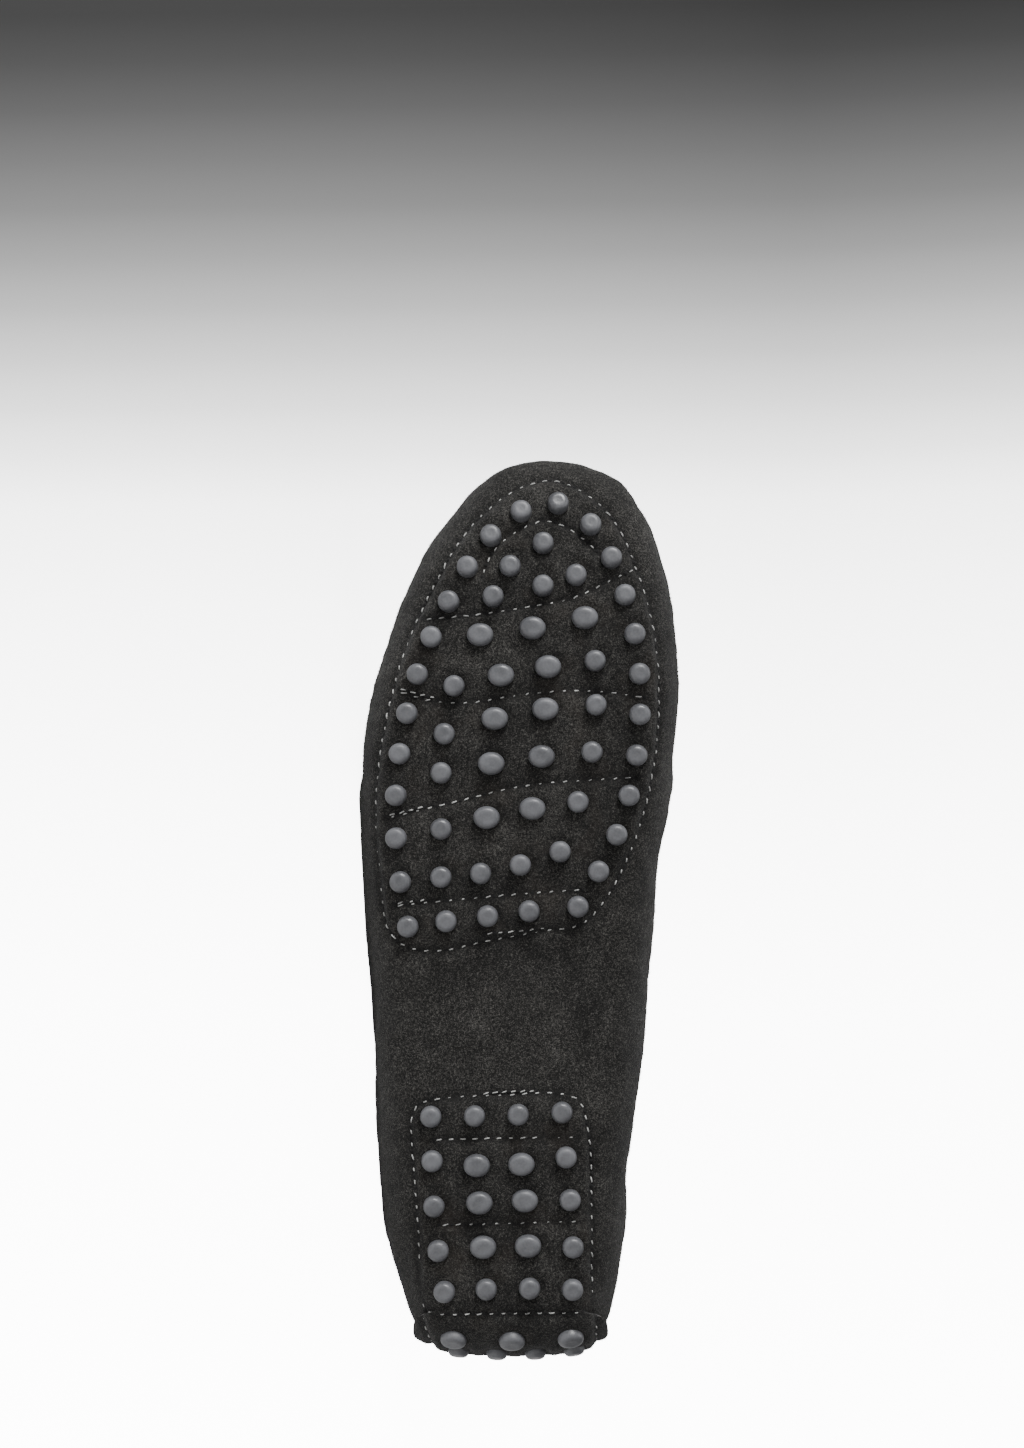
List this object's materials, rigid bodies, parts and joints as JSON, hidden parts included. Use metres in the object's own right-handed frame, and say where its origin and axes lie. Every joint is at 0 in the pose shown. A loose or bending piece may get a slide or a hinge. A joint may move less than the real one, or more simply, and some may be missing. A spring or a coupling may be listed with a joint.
{
  "type": "driving moccasin",
  "caption": "Right driving moccasin in soft suede with studded rubber pads under ball and heel, a stitched apron and a rolled collar, lying on its outer side.",
  "frame": {"origin": "on the floor under the middle of the shoe as it lies on its outer side", "axes": "X along the shoe with the toe towards -X, the studded sole facing -Y and the inner side of the shoe up, +Z"},
  "size_m": [0.2914, 0.0852, 0.1043],
  "materials": {
    "suede": "matt black suede with a short open nap",
    "stud_rubber": "moulded grey rubber with a soft sheen",
    "insole": "smooth black lining leather",
    "lining_edge": "smooth black binding leather"
  },
  "bodies": {
    "root": {"upper": "suede", "apron": "suede", "heel_tab": "suede", "collar_binding": "lining_edge", "insole": "insole", "front_pad": "stud_rubber", "heel_pad": "stud_rubber"}
  },
  "joints": []
}
